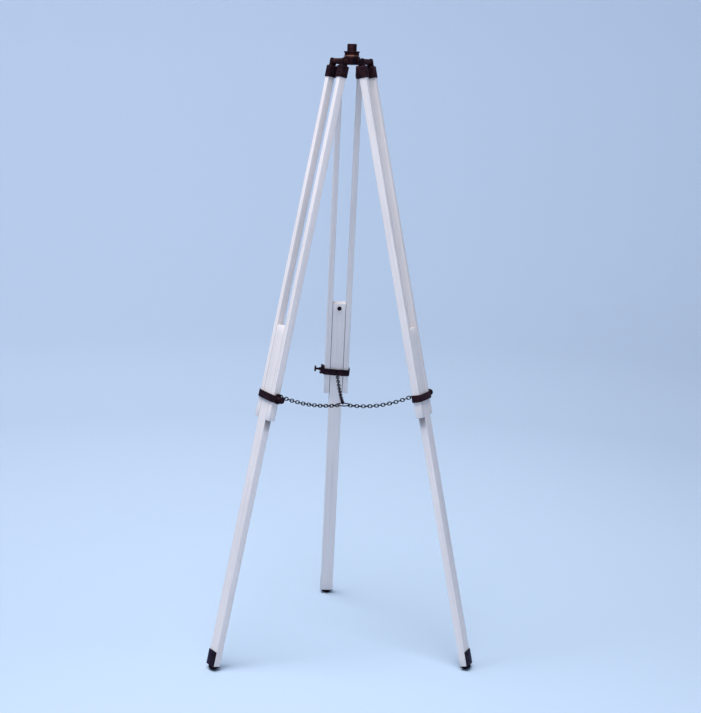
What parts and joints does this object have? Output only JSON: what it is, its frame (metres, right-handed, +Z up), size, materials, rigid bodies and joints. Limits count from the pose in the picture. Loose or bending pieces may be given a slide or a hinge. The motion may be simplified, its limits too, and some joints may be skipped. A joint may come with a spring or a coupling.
{
  "type": "wooden field tripod",
  "caption": "Folding floor tripod with two-section wooden legs, thumbscrew clamps, a chain spreader and a turning stud that carries an optical instrument.",
  "frame": {"origin": "on the floor, under the axis of the head", "axes": "+Z up along the head's axis; +Y towards the back leg's foot; the other two legs stand at 120 degrees either side"},
  "size_m": [0.567, 0.4915, 1.3],
  "materials": {
    "white_painted_wood": "white paint brushed over close-grained wood, satin",
    "dark_bronze": "oil-rubbed dark bronze, rubbed to copper on the edges",
    "copper_bronze": "rubbed bronze, brighter where it turns",
    "bronze_chain": "blackened small link chain"
  },
  "bodies": {
    "head": {"head_spider": "dark_bronze"},
    "spindle": {"spindle_stud": "dark_bronze", "spindle_flange": "dark_bronze", "bearing_ring": "copper_bronze", "spindle_washer": "dark_bronze", "spindle_nut": "dark_bronze"},
    "upper_left": {"rail_a_left": "white_painted_wood", "rail_b_left": "white_painted_wood", "cap_a_left": "dark_bronze", "cap_b_left": "dark_bronze", "cap_screws_left": "dark_bronze", "pivot_bolt_left": "dark_bronze", "pivot_nut_left": "dark_bronze", "clamp_band_left": "dark_bronze", "chain_eye_left": "dark_bronze"},
    "lower_left": {"lower_leg_left": "white_painted_wood", "stop_screw_left": "dark_bronze", "foot_plate_left": "dark_bronze", "foot_screws_left": "dark_bronze", "foot_dome_left": "dark_bronze"},
    "pad_left": {"clamp_pad_left": "dark_bronze"},
    "screw_left": {"thumbscrew_left": "dark_bronze"},
    "spreader_left": {"chain_left": "bronze_chain"},
    "upper_right": {"rail_a_right": "white_painted_wood", "rail_b_right": "white_painted_wood", "cap_a_right": "dark_bronze", "cap_b_right": "dark_bronze", "cap_screws_right": "dark_bronze", "pivot_bolt_right": "dark_bronze", "pivot_nut_right": "dark_bronze", "clamp_band_right": "dark_bronze", "chain_eye_right": "dark_bronze"},
    "lower_right": {"lower_leg_right": "white_painted_wood", "stop_screw_right": "dark_bronze", "foot_plate_right": "dark_bronze", "foot_screws_right": "dark_bronze", "foot_dome_right": "dark_bronze"},
    "pad_right": {"clamp_pad_right": "dark_bronze"},
    "screw_right": {"thumbscrew_right": "dark_bronze"},
    "spreader_right": {"chain_right": "bronze_chain"},
    "upper_back": {"rail_a_back": "white_painted_wood", "rail_b_back": "white_painted_wood", "cap_a_back": "dark_bronze", "cap_b_back": "dark_bronze", "cap_screws_back": "dark_bronze", "pivot_bolt_back": "dark_bronze", "pivot_nut_back": "dark_bronze", "clamp_band_back": "dark_bronze", "chain_eye_back": "dark_bronze"},
    "lower_back": {"lower_leg_back": "white_painted_wood", "stop_screw_back": "dark_bronze", "foot_plate_back": "dark_bronze", "foot_screws_back": "dark_bronze", "foot_dome_back": "dark_bronze"},
    "pad_back": {"clamp_pad_back": "dark_bronze"},
    "screw_back": {"thumbscrew_back": "dark_bronze"},
    "spreader_back": {"chain_back": "bronze_chain"},
    "ring": {"chain_ring": "bronze_chain"}
  },
  "joints": [
    {"name": "spindle_turn", "type": "hinge", "parent": "head", "child": "spindle", "pos_m": [0, 0, 1.28], "axis": [0, 0, 1], "continuous": true},
    {"name": "fold_left", "type": "hinge", "parent": "head", "child": "upper_left", "pos_m": [-0.02719, -0.0157, 1.2642], "axis": [-0.5, 0.866, 0], "range_deg": [-11.8, 0]},
    {"name": "extend_left", "type": "slide", "parent": "upper_left", "child": "lower_left", "axis": [-0.186, -0.1074, -0.9767], "range_m": [-0.5, 0.12]},
    {"name": "press_left", "type": "slide", "parent": "upper_left", "child": "pad_left", "axis": [0.4888, -0.8707, -0.0545], "range_m": [0, 0.0015]},
    {"name": "thumbscrew_turn_left", "type": "hinge", "parent": "pad_left", "child": "screw_left", "pos_m": [-0.1439, -0.11546, 0.57763], "axis": [0.4888, -0.8707, -0.0545], "range_deg": [0, 540]},
    {"name": "hang_left", "type": "hinge", "parent": "upper_left", "child": "spreader_left", "pos_m": [-0.14405, -0.08342, 0.57819], "axis": [0.488, -0.8728, 0.0013], "range_deg": [-84.35, 0], "deforming": ["chain_left"]},
    {"name": "fold_right", "type": "hinge", "parent": "head", "child": "upper_right", "pos_m": [0.02719, -0.0157, 1.2642], "axis": [-0.5, -0.866, 0], "range_deg": [-12, 0]},
    {"name": "extend_right", "type": "slide", "parent": "upper_right", "child": "lower_right", "axis": [0.1889, -0.1091, -0.9759], "range_m": [-0.5, 0.12]},
    {"name": "press_right", "type": "slide", "parent": "upper_right", "child": "pad_right", "axis": [0.502, 0.8648, -0.0102], "range_m": [0, 0.0015]},
    {"name": "thumbscrew_turn_right", "type": "hinge", "parent": "pad_right", "child": "screw_right", "pos_m": [0.17348, -0.06781, 0.58087], "axis": [0.502, 0.8648, -0.0102], "range_deg": [0, 540]},
    {"name": "hang_right", "type": "hinge", "parent": "upper_right", "child": "spreader_right", "pos_m": [0.14597, -0.08423, 0.58014], "axis": [0.5078, 0.8615, 0.0012], "range_deg": [-83.44, 0], "deforming": ["chain_right"]},
    {"name": "fold_back", "type": "hinge", "parent": "head", "child": "upper_back", "pos_m": [0, 0.0314, 1.2642], "axis": [1, 0, 0], "range_deg": [-11.8, 0]},
    {"name": "extend_back", "type": "slide", "parent": "upper_back", "child": "lower_back", "axis": [0, 0.2147, -0.9767], "range_m": [-0.5, 0.12]},
    {"name": "press_back", "type": "slide", "parent": "upper_back", "child": "pad_back", "axis": [-0.9976, -0.015, 0.0681], "range_m": [0, 0.0015]},
    {"name": "thumbscrew_turn_back", "type": "hinge", "parent": "pad_back", "child": "screw_back", "pos_m": [-0.02782, 0.1817, 0.58058], "axis": [-0.9976, -0.015, 0.0681], "range_deg": [0, 540]},
    {"name": "hang_back", "type": "hinge", "parent": "upper_back", "child": "spreader_back", "pos_m": [0.00028, 0.16657, 0.5777], "axis": [-0.9997, -0.0228, -0.0025], "range_deg": [-84.28, 0], "deforming": ["chain_back"]},
    {"name": "ring_drop", "type": "slide", "parent": "head", "child": "ring", "axis": [0.0324, -0.0046, 0.9995], "range_m": [-0.12947, 0]}
  ],
  "couplings": [
    {"joint": "thumbscrew_turn_left", "follows": "press_left", "rad_per_m": 6283.2},
    {"joint": "hang_left", "follows": "fold_left", "ratio": 7.1473},
    {"joint": "fold_right", "follows": "fold_left", "ratio": 1.0169},
    {"joint": "thumbscrew_turn_right", "follows": "press_right", "rad_per_m": 6283.2},
    {"joint": "hang_right", "follows": "fold_left", "ratio": 7.0705},
    {"joint": "fold_back", "follows": "fold_left", "ratio": 1},
    {"joint": "thumbscrew_turn_back", "follows": "press_back", "rad_per_m": 6283.2},
    {"joint": "hang_back", "follows": "fold_left", "ratio": 7.1417},
    {"joint": "ring_drop", "follows": "fold_left", "m_per_rad": 0.62862}
  ]
}
